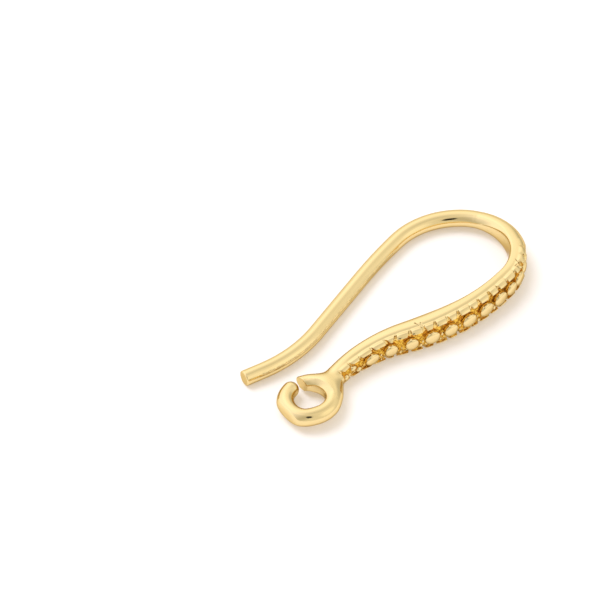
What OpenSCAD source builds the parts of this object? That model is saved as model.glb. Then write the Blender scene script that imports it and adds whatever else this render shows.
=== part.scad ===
// Ear wire for a pierced ear: one casting that lies on its side.
// From one end to the other it is an open ring, a short neck, a wide arm with a row of
// beads between two rows of lumps, a round bend, and a bare pin that flares at its end.
//
// X runs from the ring to the bend, Y from the arm to the pin, Z is up.
// The origin is under the middle of the hook, on the surface that it rests on.

/* [Pin and bend] */
// Diameter of the bare wire
wire_d = 0.9; // [0.7:0.05:1]
// Straight end of the pin, where an ear nut slides on
tip_len = 1.25; // [0.8:0.05:3]
// Rounding of the cut end of the pin
tip_round = 0.1; // [0.05:0.01:0.2]
// Radius of the flare above the straight end
flare_r = 8.4; // [6:0.1:12]
// Angle that the flare turns outwards
flare_turn = 28.7; // [15:0.1:35]
// Straight stretch of the pin above the flare
pin_len = 4.8; // [3:0.1:8]
// Radius of the shoulder, where the pin starts to bend
shoulder_r = 31; // [20:0.5:50]
// Angle that the shoulder turns
shoulder_turn = 6.5; // [3:0.1:10]
// Radius of the crown, which sits in the ear
crown_r = 4.5; // [3.8:0.05:5.5]
// Angle that the crown turns
crown_turn = 54.5; // [45:0.5:60]
// Radius of the tight turn from the arm to the crown
turn_r = 3.05; // [2.5:0.05:3.8]
// Angle of the tight turn
turn_turn = 123; // [115:0.5:130]

/* [Arm] */
// Radius of the arm's bow
bow_r = 12.3; // [9:0.1:18]
// Angle that the bow turns
bow_turn = 34; // [26:0.5:42]
// Radius of the curve from the neck to the bow
neck_r = 8.6; // [6:0.1:12]
// Angle of the curve from the neck to the bow
neck_turn = 30.5; // [22:0.5:38]
// Straight neck, from the middle line of the ring's wire
neck_len = 1.24; // [1:0.02:2]
// Angle of the tight turn that the widened arm takes up
arm_reach = 108; // [90:1:114]
// Greatest width of the arm across the hook's plane
arm_w = 1.84; // [1.4:0.02:2.4]
// Greatest reach of the arm from its middle line to the beaded face
arm_face = 0.58; // [0.52:0.01:0.75]
// Greatest reach of the arm from its middle line to the smooth back
arm_back = 0.86; // [0.6:0.01:1.1]

/* [Beads and lumps] */
// Number of beads
bead_count = 13; // [4:1:14]
// Diameter of a bead at the middle of the arm
bead_d = 0.78; // [0.6:0.02:0.9]
// Height of a bead's top above the face
bead_proud = 0.12; // [0.06:0.01:0.2]
// Share of the arm's length at which the first bead sits
beads_from = 0.116; // [0.09:0.001:0.2]
// Share of the arm's length at which the last bead sits
beads_to = 0.826; // [0.6:0.001:0.84]
// How much more than the mean the first beads are spaced
bead_closing = 0.25; // [0:0.01:0.3]
// Depth of the channel that the beads stand in
channel_depth = 0.24; // [0.1:0.02:0.3]
// Number of lumps along each edge
lump_count = 19; // [6:1:21]
// Depth of the notches between the lumps
notch_depth = 0.12; // [0.04:0.01:0.16]
// Share of the arm's length at which the lumps start
lumps_from = 0.055; // [0.05:0.001:0.15]
// Share of the arm's length at which the lumps end
lumps_to = 0.804; // [0.6:0.001:0.86]

/* [Ring] */
// Diameter of the hole in the ring
hole_d = 1.69; // [1.4:0.01:2.2]
// Diameter of the ring's wire
ring_wire_d = 0.98; // [0.8:0.02:1.1]
// How far the hole is cut into the ring's wire, which leaves a flat wall
hole_cut = 0.04; // [0.02:0.01:0.08]
// Angle round the ring from the neck to the cut end of its lug
lug_turn = 63; // [45:1:75]
// Gap between the lug and the ring's rounded free end
ring_gap = 0.24; // [0.1:0.02:0.5]
// Depth of the flat that is filed on the ring's far side
filed_depth = 0.12; // [0.04:0.01:0.2]
// Angle round the ring from the neck to the filed flat
filed_turn = 169; // [140:1:200]

/* [Lay] */
// Direction in which the neck leaves the ring
neck_dir = 15; // [5:1:25]

/* [Hidden] */

$fn = 24;
GOLD = [0.9, 0.74, 0.42];

wire_r = wire_d / 2;
ring_wire_r = ring_wire_d / 2;
ring_r = hole_d / 2 - hole_cut + ring_wire_r;

function radians(a) = a * PI / 180;
function total(list, n) = n == 0 ? 0 : list[n - 1] + total(list, n - 1);

// The middle line, from the ring to the pin's end: one row a stretch.
// Columns: length or radius, turn in degrees (left is positive, 0 is straight).
STRETCHES = [
    [neck_len, 0],
    [neck_r, -neck_turn],
    [bow_r, bow_turn],
    [turn_r, turn_turn],
    [crown_r, crown_turn],
    [shoulder_r, shoulder_turn],
    [pin_len, 0],
    [flare_r, -flare_turn],
    [tip_len, 0]
];
LENGTHS = [for (row = STRETCHES) row[1] == 0 ? row[0] : row[0] * radians(abs(row[1]))];
arm_len = total(LENGTHS, 3) + turn_r * radians(arm_reach);
sweep_len = total(LENGTHS, len(STRETCHES) - 1);

// A place on the middle line is [x, y, heading].
function advance(place, row, dist) =
    row[1] == 0
        ? [place[0] + dist * cos(place[2]), place[1] + dist * sin(place[2]), place[2]]
        : let (side = sign(row[1]), r = row[0] * side, h = place[2] + side * dist / row[0] * 180 / PI)
          [place[0] + r * (sin(h) - sin(place[2])), place[1] - r * (cos(h) - cos(place[2])), h];
PLACES = [
    for (i = 0, p = [ring_r * cos(neck_dir), ring_r * sin(neck_dir), neck_dir];
         i <= len(STRETCHES);
         p = i < len(STRETCHES) ? advance(p, STRETCHES[i], LENGTHS[i]) : p, i = i + 1) p
];

// The place at a distance along the middle line.
function place_at(dist, i = 0) =
    i == len(STRETCHES) - 1 || dist <= LENGTHS[i]
        ? advance(PLACES[i], STRETCHES[i], dist)
        : place_at(dist - LENGTHS[i], i + 1);

// The arm's sections. at is the share of the arm's length from the ring. face, back and
// width are shares of the way from the bare wire's size to the arm's greatest size.
// square is 0 for a round section and 1 for a flat face with square edges.
// Columns: at, face, back, width, square.
SECTIONS = [
    [0.00, 0.80, 0.80, 0.00, 0.0],
    [0.03, 0.60, 0.50, 0.12, 0.0],
    [0.06, 0.60, 0.42, 0.20, 0.5],
    [0.12, 0.70, 0.56, 0.30, 0.9],
    [0.20, 0.75, 0.76, 0.50, 1.0],
    [0.30, 0.80, 0.98, 0.76, 1.0],
    [0.42, 0.85, 1.00, 0.95, 1.0],
    [0.55, 0.95, 0.72, 1.00, 1.0],
    [0.68, 1.00, 0.50, 0.96, 1.0],
    [0.78, 0.80, 0.40, 0.84, 1.0],
    [0.86, 0.45, 0.27, 0.64, 0.4],
    [0.93, 0.20, 0.09, 0.32, 0.1],
    [1.00, 0.00, 0.00, 0.00, 0.0]
];
AT = 0; FACE = 1; BACK = 2; WIDTH = 3; SQUARE = 4;

// Half of the points round a section; the other half mirrors them. dir is the direction in
// degrees from the face, floor the share of the channel's depth, notch of a notch's depth.
// Columns: dir, floor, notch.
POINTS = [
    [8, 1, 0],
    [22, 1, 0],
    [29, 0, 0.5],
    [37, 0, 1],
    [46, 0, 1],
    [57, 0, 0.9],
    [72, 0, 0.5],
    [90, 0, 0.1],
    [111, 0, 0],
    [132, 0, 0],
    [152, 0, 0],
    [171, 0, 0]
];
DIR = 0; FLOOR = 1; NOTCH = 2;
point_step = 180 / len(POINTS);

face_power = 4;      // squareness of the face's edges
back_power = 2.4;    // fullness of the back
side_share = 0.45;   // where the straight side starts, as a share of the face's reach
lump_steps = 4;      // sections to a lump
sweep_step = 0.4;    // distance between the other sections
root_share = 0.7;    // size of the sweep's start, as a share of the ring's wire
seat_share = 0.98;   // size of the sweep's end inside the pin's straight end
seat_depth = 0.3;    // how far it goes into the pin's straight end

// One column of the sections at a share of the arm, on a smooth curve through the rows.
function row_below(at, i = 0) = i >= len(SECTIONS) - 2 || SECTIONS[i + 1][AT] > at ? i : row_below(at, i + 1);
function slope(i, col) =
    let (a = max(i - 1, 0), b = min(i + 1, len(SECTIONS) - 1))
    (SECTIONS[b][col] - SECTIONS[a][col]) / (SECTIONS[b][AT] - SECTIONS[a][AT]);
function share(at, col) =
    at >= 1 ? 0 :
    let (i = row_below(at), p = SECTIONS[i], q = SECTIONS[i + 1], gap = q[AT] - p[AT], t = (at - p[AT]) / gap)
    max(0, p[col] * (2 * pow(t, 3) - 3 * pow(t, 2) + 1) + q[col] * (3 * pow(t, 2) - 2 * pow(t, 3))
        + gap * slope(i, col) * (pow(t, 3) - 2 * pow(t, 2) + t)
        + gap * slope(i + 1, col) * (pow(t, 3) - pow(t, 2)));
function face_at(at) = wire_r + (arm_face - wire_r) * share(at, FACE);
function back_at(at) = wire_r + (arm_back - wire_r) * share(at, BACK);
function half_w_at(at) = wire_r + (arm_w / 2 - wire_r) * share(at, WIDTH);
function square_at(at) = min(1, share(at, SQUARE));

// How deep a notch is at a share of the arm: 0 on top of a lump, 1 between two.
lump_gap = (lumps_to - lumps_from) / lump_count;
function notch_at(at) =
    at < lumps_from || at > lumps_to ? 0 : 1 - abs(sin(180 * (at - lumps_from) / lump_gap));

// One section as points [distance outwards from the middle line, height].
function outline(at) =
    let (face = face_at(at), back = back_at(at), half_w = half_w_at(at), sq = square_at(at),
         side = side_share * face * sq, floor_drop = channel_depth * sq * sq,
         notch = notch_depth * notch_at(at) * sq,
         half = [for (i = [0:len(POINTS) - 1])
            let (p = POINTS[i], dir = (1 - sq) * (i + 0.5) * point_step + sq * p[DIR],
                 front = dir < 90, reach = front ? face - side : back + side,
                 power = 2 + ((front ? face_power : back_power) - 2) * sq,
                 k = pow(pow(abs(cos(dir)), power) + pow(abs(sin(dir)), power), -1 / power))
            [side + reach * k * cos(dir) - floor_drop * p[FLOOR] - notch * p[NOTCH],
             half_w * k * sin(dir) - notch * p[NOTCH] / 2]])
    concat(half, [for (i = [len(half) - 1:-1:0]) [half[i][0], -half[i][1]]]);

// A point given as [outwards, height] at a place on the middle line.
function set_out(place, point) =
    [place[0] + point[0] * sin(place[2]), place[1] - point[0] * cos(place[2]), point[1]];
function ring_of(dist, points) = [for (p = points) set_out(place_at(dist), p)];
function round_outline(r) = [for (i = [0:2 * len(POINTS) - 1])
    [r * cos((i + 0.5) * point_step), r * sin((i + 0.5) * point_step)]];

// Distances of the sections from the ring, in three runs: neck, lumps, and the rest.
function run(from, to, steps) = [for (k = [0:steps - 1]) from + (to - from) * k / steps];
lumps_start = lumps_from * arm_len;
lumps_end = lumps_to * arm_len;
DISTS = concat(
    run(ring_wire_r, lumps_start, max(1, round((lumps_start - ring_wire_r) / sweep_step))),
    run(lumps_start, lumps_end, lump_count * lump_steps),
    run(lumps_end, sweep_len, round((sweep_len - lumps_end) / sweep_step))
);
SWEEP = concat(
    [ring_of(0, round_outline(root_share * ring_wire_r))],
    [for (dist = DISTS) ring_of(dist, outline(dist / arm_len))],
    [ring_of(sweep_len + seat_depth, round_outline(seat_share * wire_r))]
);

// The hook lies on its side: it rests on the crown's end, on the pin's end and on the arm's
// lower edge. So it is tilted about the line through the first two until the arm touches too.
end_place = place_at(sweep_len + tip_len);
rest_line = PLACES[5] - end_place;
rest_axis = [rest_line[0], rest_line[1], 0] / norm([rest_line[0], rest_line[1]]);
function arm_side(p) = rest_axis[1] * (p[0] - end_place[0]) - rest_axis[0] * (p[1] - end_place[1]);
lay_tilt = max([for (r = SWEEP) for (p = r) atan2(-p[2] - wire_r, arm_side(p))]);
function laid(p) =
    p * cos(lay_tilt) - cross(rest_axis, p) * sin(lay_tilt)
    + rest_axis * (rest_axis * p) * (1 - cos(lay_tilt));

// Points on the ring, cut off at the filed flat, and on the pin's end, to find the box.
filed_dir = [cos(neck_dir + filed_turn), sin(neck_dir + filed_turn), 0];
RING_POINTS = [
    for (a = [0:5:355], b = [0:15:345])
        let (r = ring_r + ring_wire_r * cos(b), p = [r * cos(a), r * sin(a), ring_wire_r * sin(b)])
        p - filed_dir * max(0, filed_dir * p - (ring_r + ring_wire_r - filed_depth))
];
END_POINTS = concat(
    ring_of(sweep_len + tip_len, round_outline(wire_r - tip_round)),
    ring_of(sweep_len + tip_len - tip_round, round_outline(wire_r))
);
BOX_POINTS = [for (p = concat([for (r = SWEEP) each r], RING_POINTS, END_POINTS)) laid(p)];
function low(axis) = min([for (p = BOX_POINTS) p[axis]]);
function high(axis) = max([for (p = BOX_POINTS) p[axis]]);

// Lays the hook down, with the origin under the middle of it.
module lay_down() {
    translate([-(low(0) + high(0)) / 2, -(low(1) + high(1)) / 2, -low(2)])
        rotate(a = -lay_tilt, v = rest_axis)
            children();
}

// Arm and wire, as one surface through the sections.
module sweep() {
    n = 2 * len(POINTS);
    last = len(SWEEP) - 1;
    polyhedron(
        points = [for (r = SWEEP) each r],
        faces = concat(
            [[for (j = [n - 1:-1:0]) j]],
            [for (k = [0:last - 1]) for (j = [0:n - 1])
                let (a = k * n + j, b = k * n + (j + 1) % n)
                each [[a, b, a + n], [b, b + n, a + n]]],
            [[for (j = [0:n - 1]) last * n + j]]
        )
    );
}

// The bare end of the pin: a straight cylinder with a rounded cut end.
module pin_tip() {
    place = place_at(sweep_len);
    translate([place[0], place[1], 0])
        rotate([0, 0, place[2]])
            rotate([0, 90, 0])
                rotate_extrude()
                    union() {
                        square([wire_r, tip_len - tip_round]);
                        square([wire_r - tip_round, tip_len]);
                        translate([wire_r - tip_round, tip_len - tip_round]) circle(r = tip_round);
                    }
}

// The beads stand in the channel, a little closer together towards the bend.
module beads() {
    for (i = [0:bead_count - 1]) {
        t = i / (bead_count - 1);
        at = beads_from + (beads_to - beads_from) * (t + bead_closing * t * (1 - t));
        d = bead_d * min(1, half_w_at(at) / (arm_w / 2) + 0.15);
        reach = face_at(at) + bead_proud * square_at(at) - d / 2;
        translate(set_out(place_at(at * arm_len), [reach, 0])) sphere(d = d);
    }
}

// The ring is open: it runs from the lug's cut end past the neck to a rounded free end.
ring_sweep = 360 - (ring_gap + ring_wire_r) / ring_r * 180 / PI;

module ring() {
    difference() {
        rotate([0, 0, neck_dir + lug_turn - ring_sweep]) {
            rotate_extrude(angle = ring_sweep) translate([ring_r, 0]) circle(r = ring_wire_r);
            translate([ring_r, 0, 0]) sphere(r = ring_wire_r - 0.01);
        }
        rotate([0, 0, neck_dir + filed_turn])
            translate([ring_r + ring_wire_r - filed_depth, -ring_r, -ring_wire_d])
                cube([ring_wire_d, 2 * ring_r, 2 * ring_wire_d]);
    }
}

module ear_hook() {
    color(GOLD)
        lay_down()
            difference() {
                union() {
                    ring();
                    sweep();
                    beads();
                    pin_tip();
                }
                cylinder(d = hole_d, h = 4 * ring_wire_d, center = true);
            }
}

ear_hook();
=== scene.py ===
"""A gold-plated ear wire that lies on its side on a white floor.

The hook's surface is built as one skin. Its shape is a distance field, written in the
coordinates of the hook's middle line: s runs from the ring to the pin's end, n points
outwards from the middle line, to the beaded face, and z points up from the hook's plane.
A net is laid where the field changes sign, and each of its corners is moved onto the
surface. Lengths are in millimetres until the skin is placed in the frame.
"""
import math

import bpy
import numpy as np
from mathutils import Matrix, Vector


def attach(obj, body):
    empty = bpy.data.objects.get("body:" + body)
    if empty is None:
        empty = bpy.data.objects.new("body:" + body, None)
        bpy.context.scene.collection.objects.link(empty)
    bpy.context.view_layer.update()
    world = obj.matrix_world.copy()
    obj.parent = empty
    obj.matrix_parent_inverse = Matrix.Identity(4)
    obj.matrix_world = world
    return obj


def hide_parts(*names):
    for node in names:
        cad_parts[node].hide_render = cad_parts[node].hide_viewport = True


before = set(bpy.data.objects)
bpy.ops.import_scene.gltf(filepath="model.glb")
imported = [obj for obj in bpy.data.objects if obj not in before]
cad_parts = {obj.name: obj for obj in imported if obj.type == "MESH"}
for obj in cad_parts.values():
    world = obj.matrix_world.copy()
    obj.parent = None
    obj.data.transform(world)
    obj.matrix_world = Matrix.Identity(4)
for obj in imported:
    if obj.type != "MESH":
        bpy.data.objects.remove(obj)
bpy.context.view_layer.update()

# ---------------------------------------------------------------- sizes
# The middle line, the wire and the ring's gap are the part's. The ring's round and the
# arm's sections follow the photo more closely than the part's do.
WIRE_R = 0.45
TIP_LEN = 1.25                        # the pin's straight end
TIP_ROUND, TIP_CUT = 0.07, 0.06       # the rounding of its edge, and how far it is cut back
NECK_DIR = 15.0                       # degrees in the hook's plane
RING_R, RING_WIRE_R, HOLE_R = 1.315, 0.51, 0.87
RING_GAP = 0.24
START_R = 1.295                       # where the middle line starts, from the ring's centre

# Turns round the ring are in degrees from the neck, and positive on the lug's side.
LUG_TURN = 60                         # where the lug is cut off
LUG_CUT_TURN = 169                    # the way that its cut faces
GAP_TURN = math.degrees((RING_GAP + RING_WIRE_R) / RING_R)      # from there to the free end
FILED_TURN, FILED_AT = 168, 1.72      # the flat: the way it faces, and how far out it lies
LUG_TAPER, LUG_TAPERS = 0.075, (22, 62)         # how much the lug thins, and where
FREE_TAPER, FREE_TAPERS_OVER = 0.05, 60         # the same for the free end
LUG_ZONE = 30                         # degrees on both sides of the cut where it counts
LUG_SOFT, BORE_SOFT, FILED_SOFT = 0.03, 0.05, 0.16              # rounding of their edges
# How far the ring's wire stands out from its circle, by the turn.
RING_DRIFT = (
    (-180, 0.08), (-165, 0.08), (-148, 0.0), (-130, -0.11), (-96, -0.13),
    (-60, -0.06), (-25, 0.0), (100, 0.0), (140, 0.05), (180, 0.08))
DRIFT_ROUND = 20                      # degrees each way over which this is smoothed

# The middle line: length or radius, turn in degrees (left is positive, 0 is straight).
STRETCHES = (
    (1.24, 0), (8.6, -30.5), (12.3, 34), (3.05, 123), (4.5, 54.5),
    (31, 6.5), (4.8, 0), (8.4, -28.7), (TIP_LEN, 0))
LINE_BEFORE, LINE_PAST = 3.4, 0.6     # how far it goes straight on at its two ends
ARM_REACH = 108.0                     # degrees of the tight turn that the arm takes up

# The arm's sections: share of its length, then the reach to the face, the reach to the
# back and the half width in millimetres, and the squareness.
SECTIONS = (
    (0.000, 1.12, 0.60, 0.470, 0.0),
    (0.025, 0.90, 0.60, 0.500, 0.0),
    (0.048, 0.65, 0.61, 0.530, 0.1),
    (0.070, 0.58, 0.62, 0.550, 0.4),
    (0.120, 0.58, 0.67, 0.590, 0.8),
    (0.200, 0.60, 0.76, 0.685, 1.0),
    (0.260, 0.61, 0.85, 0.760, 1.0),
    (0.330, 0.62, 0.95, 0.830, 1.0),
    (0.400, 0.64, 0.97, 0.865, 1.0),
    (0.460, 0.65, 0.88, 0.885, 1.0),
    (0.540, 0.65, 0.72, 0.890, 1.0),
    (0.620, 0.65, 0.61, 0.880, 1.0),
    (0.700, 0.64, 0.55, 0.860, 1.0),
    (0.780, 0.61, 0.52, 0.815, 1.0),
    (0.860, 0.56, 0.51, 0.740, 0.7),
    (0.930, 0.52, 0.50, 0.600, 0.3),
    (1.000, 0.50, 0.50, 0.465, 0.0))
SIDE_BACK = 0.25                      # how far behind the middle line it is widest, if square
BACK_TRIM = 0.04                      # what a square section's back is short of its reach
FACE_POWER, BACK_POWER = 1.4, 0.1     # what the squareness adds to an ellipse's power of 2
TAPER_TO = 27.0                       # where the wire has thinned to its own radius
SWELL_OUT, SWELL_UP = 0.11, 0.033     # how much thicker it is at the arm's end, as shares


# ---------------------------------------------------------------- the middle line
def stretch_length(size, turn):
    return size if turn == 0 else size * abs(math.radians(turn))


def middle_line(step=0.01):
    """Tables of place, heading and curvature along the line; it goes straight back through
    the ring before its start, and straight on past its end."""
    h = math.radians(NECK_DIR)
    s, head, bend = [-LINE_BEFORE], [h], [0.0]
    x, y = [(START_R - LINE_BEFORE) * math.cos(h)], [(START_R - LINE_BEFORE) * math.sin(h)]
    for size, turn in ((LINE_BEFORE, 0),) + STRETCHES + ((LINE_PAST, 0),):
        length = stretch_length(size, turn)
        k = 0.0 if turn == 0 else math.copysign(1 / size, turn)
        count = max(1, round(length / step))
        d = length / count
        for _ in range(count):
            mid = head[-1] + k * d / 2
            x.append(x[-1] + d * math.cos(mid))
            y.append(y[-1] + d * math.sin(mid))
            head.append(head[-1] + k * d)
            s.append(s[-1] + d)
            bend.append(k)
    return [np.array(v) for v in (s, x, y, head, bend)]


LINE_S, LINE_X, LINE_Y, LINE_HEAD, LINE_BEND = middle_line()
LENGTHS = [stretch_length(*stretch) for stretch in STRETCHES]
ARM_LEN = sum(LENGTHS[:3]) + STRETCHES[3][0] * math.radians(ARM_REACH)
ARM_END = ARM_LEN + 0.2               # from here on the pin's field counts
LINE_LEN = sum(LENGTHS)


def at_line(s):
    return [np.interp(s, LINE_S, v) for v in (LINE_X, LINE_Y, LINE_HEAD, LINE_BEND)]


def to_space(s, n, z):
    x, y, head, _ = at_line(s)
    return np.stack([x + n * np.sin(head), y - n * np.cos(head), z], -1)


def smooth_table(rows, samples=4000):
    """A cubic through each column of a table, sampled finely over its first column."""
    t = np.array(rows)
    at, out = np.linspace(0, 1, samples), []
    slope = np.gradient(t, t[:, 0], axis=0)
    i = np.clip(np.searchsorted(t[:, 0], at, side="right") - 1, 0, len(t) - 2)
    gap = t[i + 1, 0] - t[i, 0]
    u = (at - t[i, 0]) / gap
    for c in range(1, t.shape[1]):
        values = t[i, c] * (2 * u**3 - 3 * u**2 + 1) + t[i + 1, c] * (3 * u**2 - 2 * u**3)
        out.append(values + gap * slope[i, c] * (u**3 - 2 * u**2 + u)
                   + gap * slope[i + 1, c] * (u**3 - u**2))
    return at, out


SECTION_AT, SECTION_COLS = smooth_table(SECTIONS)


def section(s):
    at = np.clip(s / ARM_LEN, 0, 1)
    return [np.interp(at, SECTION_AT, c) for c in SECTION_COLS]


# ---------------------------------------------------------------- the field's tools
FAR = 9.0                             # a distance that stands for: no surface near


def ramp(x, a, b):
    """From 0 at a to 1 at b, smoothly."""
    t = np.clip((x - a) / (b - a), 0, 1)
    return t * t * (3 - 2 * t)


def join(a, b, k):
    """Both shapes as one, with their corner filled over a width of about k."""
    h = np.clip(0.5 + 0.5 * (b - a) / k, 0, 1)
    return b + (a - b) * h - k * h * (1 - h)


def cut(a, b, k):
    """What both shapes share, with its edge rounded over a width of about k."""
    return -join(-a, -b, k)


# ---------------------------------------------------------------- the arm's relief
# Places are lengths along the middle line. Something grows or ends between two of them.
RELIEF_GROWS, RELIEF_ENDS = (0.94, 1.08), (15.2, 15.9)

# Tongues of metal stand on both flanks, rounded between the notches that part them.
TONGUE_RISE = 0.045
TONGUE_ROOT, TONGUE_TOP = (0.06, 0.30), (0.50, 0.66)    # how far out they start and end
FURROW_DEPTH, FURROW_AT, FURROW_HALF = 0.04, 0.12, 0.12                 # along their roots
FURROW_GROWS, FURROW_ENDS = (1.2, 2.6), (12.5, 15)
# Notches: place, how far one leans along the arm for each millimetre towards the face, and
# how far out it starts.
NOTCHES = np.array((
    (1.03, 0.4, 0.20), (1.80, 0.5, 0.20), (2.62, -0.1, 0.30), (3.50, 0.2, 0.20),
    (4.42, 0.4, 0.12), (5.20, -0.6, 0.14), (6.05, -0.3, 0.14), (6.78, 0.1, 0.16),
    (7.56, -0.4, 0.14), (8.28, 0.0, 0.18), (9.04, -0.4, 0.14), (9.76, 0.1, 0.34),
    (10.42, -0.3, 0.18), (11.24, -0.3, 0.14), (11.84, 0.0, 0.28), (12.56, -0.1, 0.34),
    (13.34, -0.3, 0.32), (13.72, 0.9, 0.16), (14.08, -0.5, 0.30), (14.64, -0.7, 0.34),
    (15.20, -0.4, 0.36)))
NOTCH_HALF, NOTCH_FLARE = 0.05, 0.24  # half width at its start, and growth per millimetre
NOTCH_LIP = 0.1                       # it deepens steeply up to here, and gently beyond
NOTCH_STEEP, NOTCH_GENTLE = 1.7, 0.25
NOTCH_GROWTH, NOTCH_LEANS = 0.45, 0.5           # how far from its start it grows and leans
LOWER_ROW = 0.6                       # share of this in the row that faces the floor
NOTCH_SOFT = 0.035

# Scratches on the upper flank: place, lean, and how far out they start and end.
SCRATCHES = ((6.66, 0.55, -0.20, 0.22), (6.84, 0.30, -0.10, 0.24), (14.12, -1.0, 0.02, 0.34))
SCRATCH_HALF, SCRATCH_DEPTH, SCRATCH_SOFT = 0.028, 0.045, 0.02
SCRATCH_AT = 0.1                      # how far out the places in the table are meant
SCRATCH_NEAR = 0.5                    # no scratch reaches further from its place than this

# The channel in the face, between the two rows of tongues.
CHANNEL_DEPTH, CHANNEL_LOSS, CHANNEL_LOSES = 0.32, 0.45, (13.4, 15.6)   # shallower at the end
CHANNEL_SHARE, CHANNEL_EDGE = 0.74, 0.02        # half width: share of the arm's, plus this
CHANNEL_LIFT = 0.2                    # its floor's height over the face where it is left out
CHANNEL_SOFT, RIPPLE_RISE = 0.06, 0.018

# Beads: place, half length and half height.
BEADS = (
    (3.42, 0.49, 0.36), (4.74, 0.44, 0.39), (6.03, 0.40, 0.40), (7.24, 0.45, 0.42),
    (8.38, 0.42, 0.41), (9.58, 0.46, 0.42), (10.79, 0.47, 0.42), (11.88, 0.47, 0.43),
    (12.82, 0.41, 0.40), (13.62, 0.41, 0.38), (14.42, 0.36, 0.34), (15.08, 0.29, 0.26))
BEAD_TOP, BEAD_SINK, BEAD_SINKS = 0.08, 0.11, (12.6, 15)        # over the face, less later on
# Small beads by the neck: place, z of the middle, half length, half height.
SMALL_BEADS = ((1.42, -0.16, 0.20, 0.20), (2.02, 0.14, 0.24, 0.17), (2.46, -0.22, 0.22, 0.16))
SMALL_BEAD_TOP = -0.04
BEAD_RISE, BEAD_POWER, BEAD_SOFT = 0.2, 2.7, 0.015
ALL_BEADS = [(place, 0.0, half_len, half_up, BEAD_TOP - BEAD_SINK * ramp(place, *BEAD_SINKS))
             for place, half_len, half_up in BEADS]
ALL_BEADS += [(*bead, SMALL_BEAD_TOP) for bead in SMALL_BEADS]
GRAIN_STRETCH, GRAIN_SOFT = 1.5, 0.02
BEAD_NEAR, GRAIN_NEAR = 0.7, 0.3      # none reaches further from its place than this


def grains():
    """Small grains of metal between the beads: place, depth below the face, z and radius."""
    for k, (a, b) in enumerate(zip(BEADS, BEADS[1:])):
        for side in (-1, 0):
            yield (0.5 * (a[0] + b[0]) + 0.05 * math.sin(7 * k + 3 * side),
                   0.16 + 0.04 * math.sin(5 * k + side),
                   -0.08 + side * (0.30 + 0.06 * math.sin(3 * k)),
                   0.075 + 0.02 * math.sin(11 * k + 2 * side))


GRAINS = list(grains())

# The casting's seam on the pin's inner flank: place, and degrees above the hook's plane.
SEAM = ((24.0, 15), (25.0, 18), (28.0, 26), (30.5, 31), (34.5, 30), (37.2, 29))
SEAM_GROWS, SEAM_ENDS = (24.0, 26.0), (36.6, 37.2)
SEAM_RISE, SEAM_HALF = 0.018, 0.085


def ripple(s, n, z):
    """Uneven casting in the recesses."""
    return (np.sin(17 * s + 7 * z) * np.sin(14 * z - 7 * n + 1)
            + 0.5 * np.sin(31 * s - 17 * n + 2) * np.sin(27 * z + 13 * s))


# ---------------------------------------------------------------- the field's parts
def hull_field(s, n, z):
    """The arm without its relief."""
    face, back, half_w, square = section(s)
    side = -SIDE_BACK * square
    u = n - side
    front = u >= 0
    reach = np.where(front, face - side, back + side - BACK_TRIM * square)
    power = np.where(front, 2 + FACE_POWER * square, 2 + BACK_POWER * square)
    a, b = np.abs(u) / reach + 1e-9, np.abs(z) / half_w + 1e-9
    g = (a**power + b**power) ** (1 / power)
    return np.sqrt(u * u + z * z) * (1 - 1 / g), face, half_w


def notch_field(s, n, z, hull, relief, marks):
    """The notches on both sides of each point; they hold no metal, so inside is positive."""
    row = np.where(z < 0, LOWER_ROW, 1.0)
    notch = np.full(s.shape, -FAR)
    for place, lean, start in marks:
        reach = np.clip(n - start, -NOTCH_LIP, NOTCH_GROWTH) * row
        half = NOTCH_HALF + NOTCH_FLARE * np.maximum(reach, 0)
        off = np.abs(s - place - lean * np.clip(n - start, 0, NOTCH_LEANS))
        deep = (NOTCH_STEEP * np.minimum(reach, NOTCH_LIP)
                + NOTCH_GENTLE * np.maximum(reach - NOTCH_LIP, 0))
        notch = np.maximum(notch, np.minimum(half - off, hull + deep * relief))
    return notch


def arm_field(s, n, z):
    """The arm with its tongues, scratches and channel."""
    hull, face, half_w = hull_field(s, n, z)
    relief = ramp(s, *RELIEF_GROWS) * (1 - ramp(s, *RELIEF_ENDS))
    i = np.clip(np.searchsorted(NOTCHES[:, 0], s), 1, len(NOTCHES) - 1)
    marks = NOTCHES[i - 1].T, NOTCHES[i].T
    (a, _, _), (b, _, _) = marks
    inside = (s > NOTCHES[0, 0]) & (s < NOTCHES[-1, 0])
    bulge = np.where(inside, np.sqrt(np.maximum(0, 1 - (2 * (s - a) / (b - a) - 1) ** 2)), 0)
    flank = ramp(n, *TONGUE_ROOT) * (1 - ramp(n, *TONGUE_TOP))
    d = hull - TONGUE_RISE * bulge * flank * relief
    furrow = np.exp(-((n - FURROW_AT) / FURROW_HALF) ** 2)
    d = d + FURROW_DEPTH * furrow * ramp(s, *FURROW_GROWS) * (1 - ramp(s, *FURROW_ENDS))
    d = cut(d, notch_field(s, n, z, hull, relief, marks), NOTCH_SOFT)
    for place, lean, first, last in SCRATCHES:
        near = (np.abs(s - place) < SCRATCH_NEAR) & (z > 0)
        out = n[near]
        line = SCRATCH_HALF - np.abs(s[near] - place - lean * (out - SCRATCH_AT))
        ends = np.minimum(out - first, last - out)
        line = np.minimum(np.minimum(line, hull[near] + SCRATCH_DEPTH), ends)
        d[near] = cut(d[near], line, SCRATCH_SOFT)
    depth = CHANNEL_DEPTH * (1 - CHANNEL_LOSS * ramp(s, *CHANNEL_LOSES))
    floor = face + CHANNEL_LIFT * (1 - relief) - relief * (depth - RIPPLE_RISE * ripple(s, n, z))
    wall = CHANNEL_SHARE * half_w + CHANNEL_EDGE
    return cut(d, -np.maximum(np.abs(z) - wall, floor - n), CHANNEL_SOFT)


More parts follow.
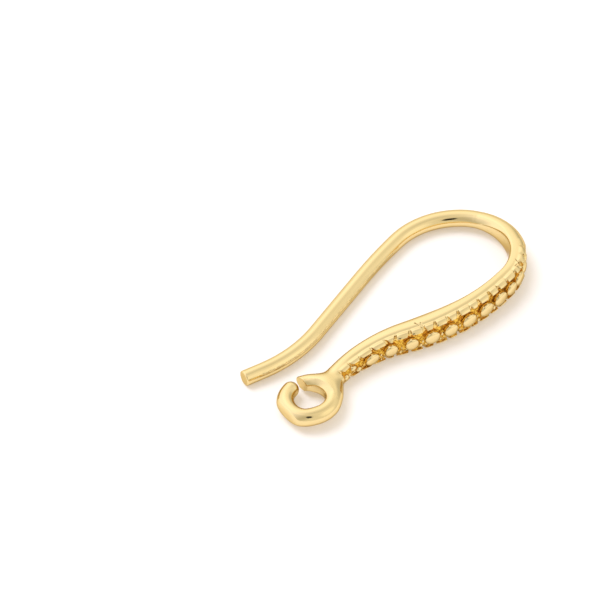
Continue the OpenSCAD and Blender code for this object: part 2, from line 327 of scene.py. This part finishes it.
def bead_field(s, n, z, place, mid, half_len, half_up, top):
    """A flat-topped bead that is sunk into the channel's floor."""
    peak = section(place)[0] + top
    flat = ((s - place) / half_len) ** 2 + ((z - mid) / half_up) ** 2
    low = np.abs((n - peak + BEAD_RISE) / BEAD_RISE)
    e = (flat ** (BEAD_POWER / 2) + low**BEAD_POWER) ** (1 / BEAD_POWER)
    return (e - 1) * BEAD_RISE


def grain_field(s, n, z, place, depth, mid, r):
    """A grain that is a little longer across the arm than along it."""
    face = section(place)[0]
    across = (z - mid) / GRAIN_STRETCH
    return np.sqrt((s - place) ** 2 + (n - face + depth) ** 2 + across**2) - r


def beaded_field(s, n, z):
    """The arm with everything on it; it starts at the ring."""
    d = np.maximum(arm_field(np.maximum(s, 0), n, z), -s)
    for shape, reach, soft, items in ((bead_field, BEAD_NEAR, BEAD_SOFT, ALL_BEADS),
                                      (grain_field, GRAIN_NEAR, GRAIN_SOFT, GRAINS)):
        for item in items:
            near = np.abs(s - item[0]) < reach
            if near.any():
                d[near] = join(d[near], shape(s[near], n[near], z[near], *item), soft)
    return d


def smoothed_drift():
    """The ring's drift at each degree from -180 to 180."""
    turns = np.arange(-180 - DRIFT_ROUND, 181 + DRIFT_ROUND)
    known = [(turn + lap, out) for lap in (-360, 0, 360) for turn, out in RING_DRIFT]
    window = np.hanning(2 * DRIFT_ROUND + 3)
    return np.convolve(np.interp(turns, *zip(*known)), window[1:-1] / window.sum(), "valid")


DRIFT_AT, DRIFT = np.arange(-180, 181), smoothed_drift()


def ring_middle(turn):
    """How far from the ring's centre the middle of its wire lies."""
    return RING_R + np.interp(turn, DRIFT_AT, DRIFT)


def ring_field(s, n, z):
    """The ring, with the lug and the free end on both sides of its gap."""
    x, y = s + START_R, -n                      # along the neck, and to its left
    rho = np.sqrt(x * x + y * y)
    turn = np.degrees(np.arctan2(y, x))
    past = (turn - LUG_TURN) % 360              # degrees past the lug's cut
    by_lug = (past > 360 - LUG_ZONE) | (past < LUG_ZONE)
    thinner = np.where(
        turn < LUG_TURN + LUG_ZONE, LUG_TAPER * ramp(turn, *LUG_TAPERS),
        FREE_TAPER * (1 - ramp(past, GAP_TURN, GAP_TURN + FREE_TAPERS_OVER)))
    wire = np.sqrt((rho - ring_middle(turn)) ** 2 + z * z) - RING_WIRE_R + thinner
    # The rounded free end.
    r, f = ring_middle(LUG_TURN + GAP_TURN), math.radians(LUG_TURN + GAP_TURN)
    from_end = np.sqrt((x - r * math.cos(f)) ** 2 + (y - r * math.sin(f)) ** 2 + z * z)
    ball = from_end - RING_WIRE_R + FREE_TAPER
    # The lug, cut by a plane that faces a little towards the ring's hole.
    f, m = math.radians(LUG_TURN), math.radians(LUG_CUT_TURN)
    plane = (x - RING_R * math.cos(f)) * math.cos(m) + (y - RING_R * math.sin(f)) * math.sin(m)
    lug = np.where(by_lug, cut(wire, plane, LUG_SOFT), FAR)
    d = np.where((past >= GAP_TURN) & ~by_lug, wire, np.minimum(lug, ball))
    # Bored through, which leaves a flat wall, and filed flat on the far side.
    d = cut(d, HOLE_R - rho, BORE_SOFT)
    f = math.radians(FILED_TURN)
    return cut(d, x * math.cos(f) + y * math.sin(f) - FILED_AT, FILED_SOFT)


def seam_at(s, n, z):
    """How far a point of the pin lies above the seam, and how strong the seam is there."""
    angle = np.arctan2(z, -n) - np.radians(np.interp(s, *zip(*SEAM)))
    strength = ramp(s, *SEAM_GROWS) * (1 - ramp(s, *SEAM_ENDS))
    return angle * WIRE_R, strength * ramp(np.cos(angle), 0, 0.3)   # none on the outer flank


def pin_field(s, n, z):
    """The bare wire, from the arm to its cut end."""
    thick = 1 - ramp(s, ARM_LEN, TAPER_TO)
    out, up = n / (1 + SWELL_OUT * thick), z / (1 + SWELL_UP * thick)
    q = np.sqrt(out**2 + up**2) - (WIRE_R - TIP_ROUND)
    above, strength = seam_at(s, n, z)
    ragged = 0.7 + 0.3 * np.sin(9.7 * s) * np.sin(4.3 * s + 1)
    q = q - SEAM_RISE * ragged * strength * np.exp(-(above / SEAM_HALF) ** 2)
    e = s - (LINE_LEN - TIP_CUT - TIP_ROUND)
    outside = np.sqrt(np.maximum(q, 0) ** 2 + np.maximum(e, 0) ** 2)
    return outside + np.minimum(np.maximum(q, e), 0) - TIP_ROUND


RING_END = 1.6                        # the ring's field counts up to here
ARM_START = -1.2                      # the arm's field counts from here
NECK_OUT, WIRE_OUT = 2.1, 1.25        # how far out they count by the ring, and further on
NECK_SOFT = 0.5                       # how the neck runs into the ring


def field(s, n, z):
    """The whole hook: negative in the metal, positive outside."""
    d = np.full(s.shape, 1.0)
    arm = (s > ARM_START) & (s < ARM_END) & (np.abs(n) < np.where(s < RING_END, NECK_OUT, WIRE_OUT))
    pin = (s >= ARM_END) & (np.abs(n) < WIRE_OUT)
    ring = s < RING_END
    if arm.any():
        d[arm] = beaded_field(s[arm], n[arm], z[arm])
    if pin.any():
        d[pin] = pin_field(s[pin], n[pin], z[pin])
    if ring.any():
        d[ring] = join(d[ring], ring_field(s[ring], n[ring], z[ring]), NECK_SOFT)
    return d


# ---------------------------------------------------------------- from the field to a skin
NET_SCALE = 1.12
# Along the line: where each stretch of the net starts, and its step.
NET_STEPS = (
    (-3.3, 0.055), (0.7, 0.038), (16.2, 0.09), (LINE_LEN - 0.3, 0.035), (LINE_LEN + 0.2, None))
NET_STEP = 0.043                      # in the other two directions
RING_HALF, ARM_HALF = 2.0, 1.1        # how far out the net reaches, by the ring and elsewhere
UP_HALF, PIN_UP_HALF = 1.1, 0.6       # how far up and down it reaches, there and on the pin
NECK_END = 1.0                        # from here on the ring is out of reach
NET_SHIFT = 0.0007                    # keeps the net's own planes off the hook's plane
CHUNK = 60                            # steps that are worked out at once


def spaced(a, b, step):
    return np.linspace(a, b, max(2, round((b - a) / step)) + 1)[:-1]


def neighbours(block, axis):
    """The values of a block, and the next ones along an axis."""
    low, high = [slice(None)] * 3, [slice(None)] * 3
    low[axis], high[axis] = slice(0, -1), slice(1, None)
    return block[tuple(low)], block[tuple(high)]


def sampled():
    """The net's places in s, n and z, and the field at each of them."""
    S = np.concatenate([spaced(a, b, step * NET_SCALE)
                        for (a, step), (b, _) in zip(NET_STEPS, NET_STEPS[1:])])
    N = np.arange(-RING_HALF, RING_HALF, NET_STEP * NET_SCALE)
    Z = np.arange(-UP_HALF, UP_HALF, NET_STEP * NET_SCALE) + NET_SHIFT
    F = np.ones((len(S), len(N), len(Z)), np.float32)
    for a in range(0, len(S), CHUNK):
        s = S[a:a + CHUNK]
        j = np.where(np.abs(N) < (RING_HALF if s.min() < NECK_END else ARM_HALF))[0]
        m = np.where(np.abs(Z) < (PIN_UP_HALF if s.max() > ARM_END else UP_HALF))[0]
        g = np.meshgrid(s, N[j], Z[m], indexing="ij")
        values = field(*[v.ravel() for v in g]).reshape(g[0].shape)
        F[a:a + len(s), j[0]:j[-1] + 1, m[0]:m[-1] + 1] = values
    return S, N, Z, F


def skin():
    """The corners of the skin in s, n and z, and its quads."""
    S, N, Z, F = sampled()
    shape = np.array(F.shape) - 1
    # One corner in each cell that the surface crosses, in the middle of its crossings.
    total = np.zeros(shape.prod(), np.int16)
    summed = np.zeros((shape.prod(), 3), np.float32)
    for axis in range(3):
        a, b = neighbours(F, axis)
        cross = (a < 0) != (b < 0)
        at = np.argwhere(cross)
        fa, fb = a[cross], b[cross]
        place = at.astype(np.float32)
        place[:, axis] += fa / (fa - fb)
        first, second = [other for other in range(3) if other != axis]
        for back_first in (0, 1):
            for back_second in (0, 1):
                cell = at.copy()
                cell[:, first] -= back_first
                cell[:, second] -= back_second
                ok = np.all((cell >= 0) & (cell < shape), axis=1)
                flat = np.ravel_multi_index(cell[ok].T, shape)
                np.add.at(total, flat, 1)
                np.add.at(summed, flat, place[ok])
    used = np.flatnonzero(total)
    p = summed[used] / total[used][:, None]
    number = -np.ones(total.size, np.int64)
    number[used] = np.arange(len(used))
    # One quad round each crossing, of the corners in its four cells.
    quads = []
    for axis in range(3):
        in_a, in_b = neighbours(F < 0, axis)
        cross = in_a != in_b
        at = np.argwhere(cross)
        first, second = [(1, 2), (2, 0), (0, 1)][axis]
        corners = []
        for back_first, back_second in ((1, 1), (0, 1), (0, 0), (1, 0)):
            cell = at.copy()
            cell[:, first] -= back_first
            cell[:, second] -= back_second
            corners.append(number[np.ravel_multi_index(np.clip(cell, 0, shape - 1).T, shape)])
        quad = np.stack(corners, 1)
        flipped = in_a[cross]
        quad[flipped] = quad[flipped][:, ::-1]
        quads.append(quad)
    s, n, z = [np.interp(p[:, c], np.arange(len(V)), V) for c, V in enumerate((S, N, Z))]
    return s, n, z, np.concatenate(quads)


def slopes(s, n, z, e=0.004):
    """The field's slope along s, n and z, and how much longer than s the way along it is."""
    stretch = 1 + at_line(s)[3] * n
    gs = (field(s + e, n, z) - field(s - e, n, z)) / (2 * e * stretch)
    gn = (field(s, n + e, z) - field(s, n - e, z)) / (2 * e)
    gz = (field(s, n, z + e) - field(s, n, z - e)) / (2 * e)
    return gs, gn, gz, stretch


def settle(s, n, z, rounds=3, longest=0.02, least_slope=0.05):
    """Moves each corner of the net along the field's slope onto the surface."""
    for _ in range(rounds):
        f = field(s, n, z)
        gs, gn, gz, stretch = slopes(s, n, z)
        g2 = np.maximum(gs * gs + gn * gn + gz * gz, least_slope)
        step = np.clip(f / g2, -longest, longest)
        s, n, z = s - step * gs / stretch, n - step * gn, z - step * gz
    return s, n, z


def space_normals(s, n, z):
    gs, gn, gz, _ = slopes(s, n, z)
    head = at_line(s)[2]
    along = np.stack([np.cos(head), np.sin(head), 0 * head], -1)
    outwards = np.stack([np.sin(head), -np.cos(head), 0 * head], -1)
    normals = gs[:, None] * along + gn[:, None] * outwards
    normals[:, 2] += gz
    return normals / np.maximum(np.linalg.norm(normals, axis=1), 1e-9)[:, None]


# ---------------------------------------------------------------- laid down on the floor
# The hook rests on the crown's end, the pin's end and the arm's lower edge.
LAY_TILT = math.radians(4.138)
LAY_AXIS = Vector((0.967092, 0.254427, 0))
LAY = Matrix.Rotation(-LAY_TILT, 3, LAY_AXIS)
LAY_SHIFT = Vector((-7.3092, -2.8698, 0.748))
# The recesses get painted shade and painted reflection in the gold's material, more of it where
# they are deeper.
RECESS_SPAN = (0.6, 16.5)             # places between which the recesses lie
RECESS_FROM, RECESS_OVER = 0.12, 0.18           # the depth at which they start and grow

ps, pn, pz, quads = skin()
ps, pn, pz = settle(ps, pn, pz)
lay = np.array(LAY)
points = (to_space(ps, pn, pz) @ lay.T + np.array(LAY_SHIFT)) / 1000
normals = space_normals(ps, pn, pz) @ lay.T

mesh = bpy.data.meshes.new("ear_hook_skin")
mesh.from_pydata(points.tolist(), [], quads.tolist())
mesh.update()
mesh.polygons.foreach_set("use_smooth", np.ones(len(mesh.polygons), bool))
mesh.normals_split_custom_set_from_vertices(normals.tolist())


def mark(name, values):
    """Gives each corner of the skin a number for the material to read."""
    attribute = mesh.attributes.new(name, "FLOAT", "POINT")
    attribute.data.foreach_set("value", values.astype(np.float32))


# The recess mark: how deep each corner lies below the arm's hull. The material turns it into
# painted shade and a rougher, less metallic surface.
depth = -hull_field(np.maximum(ps, 0), pn, pz)[0]
on_arm = (ps > RECESS_SPAN[0]) & (ps < RECESS_SPAN[1])
mark("recess", np.where(on_arm, np.clip((depth - RECESS_FROM) / RECESS_OVER, 0, 1), 0))
above, strength = seam_at(ps, pn, pz)
mark("seam", above)
mark("seam_strength", strength)

hook = bpy.data.objects.new("gold_ear_wire", mesh)
bpy.context.scene.collection.objects.link(hook)
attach(hook, "root")
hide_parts("ear_hook")
print("skin:", len(points), "points", len(quads), "quads")


# ---------------------------------------------------------------- materials
class Nodes:
    """A material's or world's node tree, with short ways to add nodes and join them."""

    def __init__(self, owner):
        owner.use_nodes = True
        self.tree = owner.node_tree

    def __getitem__(self, name):
        return self.tree.nodes[name]

    def add(self, kind, values=(), **settings):
        node = self.tree.nodes.new("ShaderNode" + kind)
        for key, value in settings.items():
            setattr(node, key, value)
        for key, value in dict(values).items():
            self.feed(node.inputs[key], value)
        return node

    def feed(self, socket, value):
        if isinstance(value, bpy.types.NodeSocket):
            self.tree.links.new(value, socket)
        else:
            socket.default_value = value

    def math(self, operation, *values):
        return self.add("Math", enumerate(values), operation=operation).outputs[0]

    def ramp(self, value, stops):
        node = self.add("ValToRGB", {"Fac": value})
        for part, (at, colour) in zip(node.color_ramp.elements, stops):
            part.position = at
            part.color = colour
        return node.outputs["Color"]

    def mix(self, factor, a, b):
        # 6, 7 and 2 are the node's colour sockets, which share their names with others.
        return self.add("Mix", {0: factor, 6: a, 7: b}, data_type="RGBA").outputs[2]

    def noise(self, place, scale, detail):
        """Noise whose blobs are about 1 / scale metres wide."""
        values = {"Vector": place, "Scale": scale, "Detail": detail}
        return self.add("TexNoise", values).outputs["Fac"]

    def fade(self, value, start, end, first, last, smooth=True):
        """From first, where the value is start, to last, where it is end."""
        ends = {"Value": value, "From Min": start, "From Max": end, "To Min": first, "To Max": last}
        kind = "SMOOTHSTEP" if smooth else "LINEAR"
        return self.add("MapRange", ends, interpolation_type=kind).outputs["Result"]

    def marked(self, name):
        return self.add("Attribute", attribute_name=name).outputs["Fac"]


GOLD_STOPS = ((0.3, (0.81, 0.63, 0.30, 1)), (0.7, (0.83, 0.652, 0.322, 1)))
GOLD_TINT = (0.6, 0.5, 0.34, 1)       # of its reflections
RECESS_PAINTED_SHADE = (0.90, 0.56, 0.08, 1)   # painted shade and reflection in the recesses: the deeper tone that gold has where it mirrors gold
# painted shade: the darker line below the seam, where the wire's shadow on the floor is mirrored
SEAM_PAINTED_SHADE = (0.52, 0.38, 0.15, 1)
SMOOTHEST, ROUGHEST = 0.06, 0.13
RECESS_ROUGHER, RECESS_LESS_METAL = 0.14, 0.28
SEAM_SHADE_AT, SEAM_SHADE_HALF = 0.12, 0.07     # millimetres below the seam, and half width
SPECKS_HALF = 0.05

gold = bpy.data.materials.new("gold_plating")
g = Nodes(gold)
place = g.add("TexCoord").outputs["Object"]
sunk = g.marked("recess")
tone = g.ramp(g.noise(place, 420, 3), GOLD_STOPS)
# Painted shade and reflection: the gold turns deep amber in the recesses.
tone = g.mix(sunk, tone, RECESS_PAINTED_SHADE)
rough = g.fade(g.noise(place, 2600, 4), 0, 1, SMOOTHEST, ROUGHEST, smooth=False)
rough = g.math("ADD", rough, g.math("MULTIPLY", sunk, RECESS_ROUGHER))
uneven = g.add("Bump", {"Strength": 0.25, "Distance": 0.00002, "Height": g.noise(place, 900, 2)})
# The seam: fine ragged specks on its ridge, and below it a line of painted shade, darker metal that
# stands in for the wire's shadow mirrored from the floor.
above_seam, seam_strength = g.marked("seam"), g.marked("seam_strength")
from_shade = g.math("ABSOLUTE", g.math("ADD", above_seam, SEAM_SHADE_AT))
shade = g.fade(from_shade, 0, SEAM_SHADE_HALF, 1, 0)
tone = g.mix(g.math("MULTIPLY", shade, seam_strength), tone, SEAM_PAINTED_SHADE)
ridge = g.fade(g.math("ABSOLUTE", above_seam), 0, SPECKS_HALF, 1, 0)
specks = g.fade(g.noise(place, 3000, 2), 0.40, 0.62, 0.15, 1, smooth=False)
ridge = g.math("MULTIPLY", g.math("MULTIPLY", ridge, specks), seam_strength)
bumps = g.add("Bump", {"Strength": 1.0, "Distance": 0.00005, "Height": ridge,
                       "Normal": uneven.outputs["Normal"]})
shader = g["Principled BSDF"]
# Less metallic in the recesses, which together with the amber tone paints their shade.
metal = g.math("SUBTRACT", 1.0, g.math("MULTIPLY", sunk, RECESS_LESS_METAL))
shader.inputs["Specular Tint"].default_value = GOLD_TINT
g.feed(shader.inputs["Metallic"], metal)
g.feed(shader.inputs["Base Color"], tone)
g.feed(shader.inputs["Roughness"], rough)
g.feed(shader.inputs["Normal"], bumps.outputs["Normal"])
mesh.materials.append(gold)

FLOOR_COLOUR = (0.68, 0.66, 0.66, 1)
FLOOR_GLOW = (0.30, 0.26, 0.20, 1)    # it is lit a little from below
paper = bpy.data.materials.new("white_floor")
shader = Nodes(paper)["Principled BSDF"]
shader.inputs["Base Color"].default_value = FLOOR_COLOUR
shader.inputs["Emission Color"].default_value = FLOOR_GLOW
shader.inputs["Emission Strength"].default_value = 1.0
shader.inputs["Roughness"].default_value = 0.8
shader.inputs["Specular IOR Level"].default_value = 0.1

# ---------------------------------------------------------------- floor and camera
FLOOR_HALF = 1.2                      # metres
corners = [(-FLOOR_HALF, -FLOOR_HALF, 0), (FLOOR_HALF, -FLOOR_HALF, 0),
           (FLOOR_HALF, FLOOR_HALF, 0), (-FLOOR_HALF, FLOOR_HALF, 0)]
floor_mesh = bpy.data.meshes.new("floor")
floor_mesh.from_pydata(corners, [], [(0, 1, 2, 3)])
floor_mesh.materials.append(paper)
floor = bpy.data.objects.new("floor", floor_mesh)
bpy.context.scene.collection.objects.link(floor)

# The photograph's view of the hook, in the hook's own plane: the picture's right and up.
TURN, RISE = math.radians(36), math.radians(47)
PICTURE, PX_PER_MM = 590, 18.0
RING_PX, RING_PY = 309.8, 399.5       # where the ring's centre lies in the picture
HOOK_MIDDLE = Vector((7.3, 2.9, 0))   # about its middle, from the ring's centre
LENS, SENSOR = 800, 36                # a long lens, as the photo shows almost no perspective
right = LAY @ Vector((math.cos(TURN), -math.sin(TURN), 0))
level = math.sin(RISE)                # how much of the picture's up lies in the hook's plane
up = LAY @ Vector((math.sin(TURN) * level, math.cos(TURN) * level, math.cos(RISE)))
back = right.cross(up)
aim = (LAY_SHIFT + right * ((PICTURE / 2 - RING_PX) / PX_PER_MM)
       + up * ((RING_PY - PICTURE / 2) / PX_PER_MM) + back * back.dot(LAY @ HOOK_MIDDLE))
distance = PICTURE / PX_PER_MM * LENS / SENSOR
cam_data = bpy.data.cameras.new("camera")
cam_data.lens, cam_data.sensor_width = LENS, SENSOR
cam_data.clip_start, cam_data.clip_end = 0.01, 10
cam = bpy.data.objects.new("camera", cam_data)
cam.matrix_world = (Matrix.Translation((aim + back * distance) / 1000)
                    @ Matrix((right, up, back)).transposed().to_4x4())
bpy.context.scene.collection.objects.link(cam)
bpy.context.scene.camera = cam

# ---------------------------------------------------------------- the studio's light
# The tent round the hook is the world: a base light with soft patches, each at an angle
# from straight away from the camera (right is positive) and a height above the floor.
across = Vector((right.x, right.y, 0)).normalized()
away = Vector((-across.y, across.x, 0))


def heading(turn, height):
    a, h = math.radians(turn), math.radians(height)
    level = across * math.sin(a) + away * math.cos(a)
    return level * math.cos(h) + Vector((0, 0, math.sin(h)))


BASE_LIGHT, DARKEST = 0.94, 0.02
WARM = (1.0, 0.98, 0.94)              # tint of the light in general
COOL = (1.0, 1.02, 1.4)               # tint of the light patch on the left
PATCHES = (
    # turn, height, inner angle, outer angle, how much it adds, tint
    (-72, 28, 20, 76, 0.42, COOL),
    (0, 42, 8, 42, 0.22, WARM),
    (84, 50, 10, 36, 0.10, WARM),
    (112, 30, 6, 30, 0.27, WARM),
    (-149, 40, 20, 48, -0.28, WARM),
    (36, 5, 10, 32, -0.26, WARM),
    (30, 70, 6, 30, -0.16, WARM),
    # The dark round the camera's lens.
    (164, 44, 5, 8, -4.0, WARM),
    (166, 53, 5, 8, -4.0, WARM))
world = bpy.data.worlds.new("studio")
bpy.context.scene.world = world
w = Nodes(world)
ray = w.add("TexCoord").outputs["Generated"]
shades = [BASE_LIGHT * share for share in WARM]
for turn, height, inner, outer, gain, tint in PATCHES:
    dot = w.add("VectorMath", {0: ray, 1: heading(turn, height)}, operation="DOT_PRODUCT")
    edge, core = math.cos(math.radians(outer)), math.cos(math.radians(inner))
    part = w.fade(dot.outputs["Value"], edge, core, 0, gain)
    shades = [w.math("ADD", shade, w.math("MULTIPLY", part, share))
              for shade, share in zip(shades, tint)]
shades = [w.math("MAXIMUM", shade, DARKEST) for shade in shades]
w.feed(w["Background"].inputs["Color"], w.add("CombineColor", enumerate(shades)).outputs[0])
w["Background"].inputs["Strength"].default_value = 1.0

KEY_HEADING = (-66, 60)
key = bpy.data.lights.new("key", "SUN")
key.angle, key.energy, key.color = math.radians(36), 1.45, (0.9, 0.98, 1.1)
lamp = bpy.data.objects.new("key", key)
lamp.location = heading(*KEY_HEADING) * 0.7
lamp.rotation_mode = "QUATERNION"
lamp.rotation_quaternion = (-lamp.location).to_track_quat("-Z", "Y")
lamp.visible_glossy = False           # it makes the shadow; the tent makes the reflections
bpy.context.scene.collection.objects.link(lamp)

bpy.context.scene.view_settings.view_transform = "Standard"
